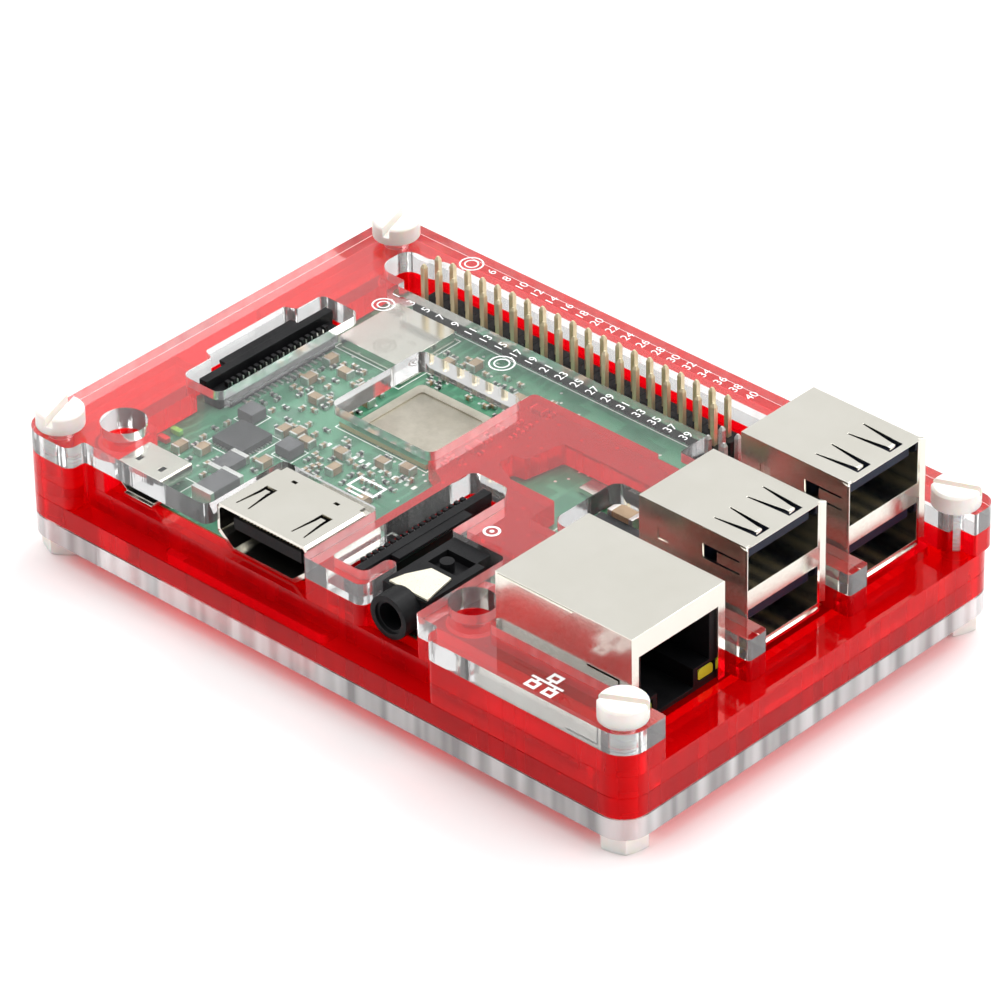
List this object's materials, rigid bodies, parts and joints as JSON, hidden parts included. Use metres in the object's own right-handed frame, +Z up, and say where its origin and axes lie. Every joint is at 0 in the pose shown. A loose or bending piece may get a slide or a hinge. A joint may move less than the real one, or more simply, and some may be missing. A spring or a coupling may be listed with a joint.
{
  "type": "single board computer in layered acrylic case",
  "caption": "Credit-card-sized circuit board computer with its ports, chips and pin header, clamped in a stack of clear and red laser-cut acrylic sheets with slotted plastic screws.",
  "frame": {"origin": "middle of the rectangle round the case, at the underside of the four nuts it stands on", "axes": "+X along the long side from the display connector towards the network and data ports, +Y across the board from the power and video ports towards the pin header, +Z up out of the board"},
  "size_m": [0.099, 0.066, 0.0268],
  "materials": {
    "clear_acrylic": "clear cast acrylic sheet, polished faces, frosted laser-cut edges",
    "red_acrylic": "see-through red cast acrylic sheet, polished faces, laser-cut edges",
    "nylon": "natural white nylon, moulded",
    "circuit_laminate": "glass-fibre laminate under green solder mask",
    "header": "black moulding with gilt pins",
    "bare_pins": "tinned pins in a small moulding",
    "nickel_shell": "thin sheet metal, satin nickel plate",
    "black_plastic": "black moulded plastic",
    "navy_plastic": "blue-black moulded plastic",
    "ivory_plate": "pale plated spring sheet",
    "chip_resin": "moulded chip resin, fine matt",
    "lid_metal": "matt nickel-plated lid",
    "ferrite": "pressed ferrite",
    "tinned_metal": "tinned metal",
    "ceramic": "fired ceramic with tinned ends",
    "green_lens": "clear green lens",
    "yellow_lens": "clear yellow-green lens",
    "red_lens": "clear red lens"
  },
  "bodies": {
    "board_and_case": {"audio_contact_plate": "ivory_plate", "audio_socket": "black_plastic", "base_plate": "clear_acrylic", "bulk_capacitor": "ceramic", "camera_connector": "black_plastic", "card_socket": "nickel_shell", "circuit_board": "circuit_laminate", "clock_crystal": "tinned_metal", "core_coil": "ferrite", "data_port_insert_far": "navy_plastic", "data_port_insert_near": "navy_plastic", "data_port_shell_far": "nickel_shell", "data_port_shell_near": "nickel_shell", "display_connector": "black_plastic", "heat_spreader": "lid_metal", "input_fuse": "ferrite", "lower_frame": "red_acrylic", "memory_chip": "chip_resin", "memory_coil": "ferrite", "middle_frame": "red_acrylic", "network_chip": "chip_resin", "network_lamp_far": "yellow_lens", "network_lamp_near": "green_lens", "network_port_insert": "black_plastic", "network_port_shell": "nickel_shell", "nut_back_left": "nylon", "nut_back_right": "nylon", "nut_front_left": "nylon", "nut_front_right": "nylon", "pin_header": "header", "port_capacitor": "ceramic", "power_controller": "chip_resin", "power_header": "bare_pins", "power_port_insert": "black_plastic", "power_port_shell": "nickel_shell", "power_switch_chip": "chip_resin", "processor_package": "circuit_laminate", "regulator_coil": "ferrite", "screw_back_left": "nylon", "screw_back_right": "nylon", "screw_front_left": "nylon", "screw_front_right": "nylon", "status_lamp_activity": "green_lens", "status_lamp_power": "red_lens", "top_cover": "clear_acrylic", "upper_frame": "red_acrylic", "video_port_insert": "black_plastic", "video_port_shell": "nickel_shell", "wireless_shield": "nickel_shell"},
    "display_latch": {"display_latch": "black_plastic"},
    "camera_latch": {"camera_latch": "black_plastic"}
  },
  "joints": [
    {"name": "display_latch_slide", "type": "slide", "parent": "board_and_case", "child": "display_latch", "axis": [0, 0, 1], "range_m": [0, 0.0012]},
    {"name": "camera_latch_slide", "type": "slide", "parent": "board_and_case", "child": "camera_latch", "axis": [0, 0, 1], "range_m": [0, 0.0012]}
  ]
}
